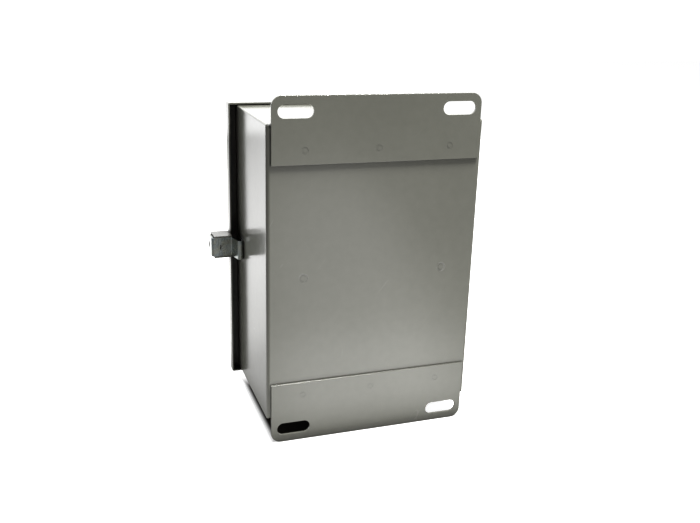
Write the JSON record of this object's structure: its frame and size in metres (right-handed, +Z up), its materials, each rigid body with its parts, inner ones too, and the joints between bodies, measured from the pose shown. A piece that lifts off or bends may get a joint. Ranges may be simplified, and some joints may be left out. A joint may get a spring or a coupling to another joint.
{
  "type": "meter socket enclosure",
  "caption": "Wall-hung sheet-steel box with slotted rear flanges, a side-hinged cover with a round meter opening, a lockable hasp, and a blade-jaw socket inside.",
  "frame": {"origin": "on the wall plane, at the centre of the four mounting slots", "axes": "+Y into the wall, +Z up, +X to the right of a person who faces the cover"},
  "size_m": [0.2466, 0.139, 0.3252],
  "materials": {
    "grey_enamel": "satin baked enamel",
    "zinc_plated_strap": "bright zinc plate with a passivated tint",
    "zinc_plated_hardware": "zinc plated",
    "black_rubber": "matte",
    "galvanised_bracket": "galvanised, with spangle",
    "moulded_insulator": "moulded phenolic, fine texture",
    "spring_steel": "blued spring steel",
    "tinned_copper": "tin plated copper, satin",
    "plated_set_screw": "zinc plated",
    "aluminium_lug": "extruded and sawn, satin"
  },
  "bodies": {
    "enclosure": {"block_screws": "zinc_plated_hardware", "body_shell": "grey_enamel", "bracket_nuts": "zinc_plated_hardware", "bracket_studs": "zinc_plated_hardware", "ground_lug": "aluminium_lug", "ground_nut": "zinc_plated_hardware", "ground_set_screw": "plated_set_screw", "ground_stud": "zinc_plated_hardware", "hasp_staple": "zinc_plated_strap", "hinge_body_leaf_lower": "grey_enamel", "hinge_body_leaf_upper": "grey_enamel", "hinge_body_rivets": "zinc_plated_hardware", "hinge_pin_lower": "zinc_plated_hardware", "hinge_pin_upper": "zinc_plated_hardware", "hub_closing_plate": "grey_enamel", "hub_gasket": "black_rubber", "hub_plate_screws": "zinc_plated_hardware", "insulator_block_left": "moulded_insulator", "insulator_block_right": "moulded_insulator", "jaw_bolts": "zinc_plated_hardware", "jaw_line_left": "tinned_copper", "jaw_line_right": "tinned_copper", "jaw_load_left": "tinned_copper", "jaw_load_right": "tinned_copper", "jaw_spring_line_left": "spring_steel", "jaw_spring_line_right": "spring_steel", "jaw_spring_load_left": "spring_steel", "jaw_spring_load_right": "spring_steel", "lug_line_left": "aluminium_lug", "lug_line_right": "aluminium_lug", "lug_load_left": "aluminium_lug", "lug_load_right": "aluminium_lug", "lug_set_screws": "plated_set_screw", "mounting_flange_lower": "grey_enamel", "mounting_flange_upper": "grey_enamel", "neutral_bar": "aluminium_lug", "neutral_bolt": "zinc_plated_hardware", "neutral_set_screws": "plated_set_screw", "socket_bracket": "galvanised_bracket", "staple_rivets": "zinc_plated_hardware"},
    "cover": {"cover_pan": "grey_enamel", "cover_hasp_channel": "grey_enamel", "hinge_cover_leaf_upper": "grey_enamel", "hinge_cover_leaf_lower": "grey_enamel", "hinge_cover_rivets": "zinc_plated_hardware"}
  },
  "joints": [
    {"name": "cover_hinge", "type": "hinge", "parent": "enclosure", "child": "cover", "pos_m": [-0.113, -0.1135, 0], "axis": [0, 0, -1], "range_deg": [0, 203]}
  ]
}
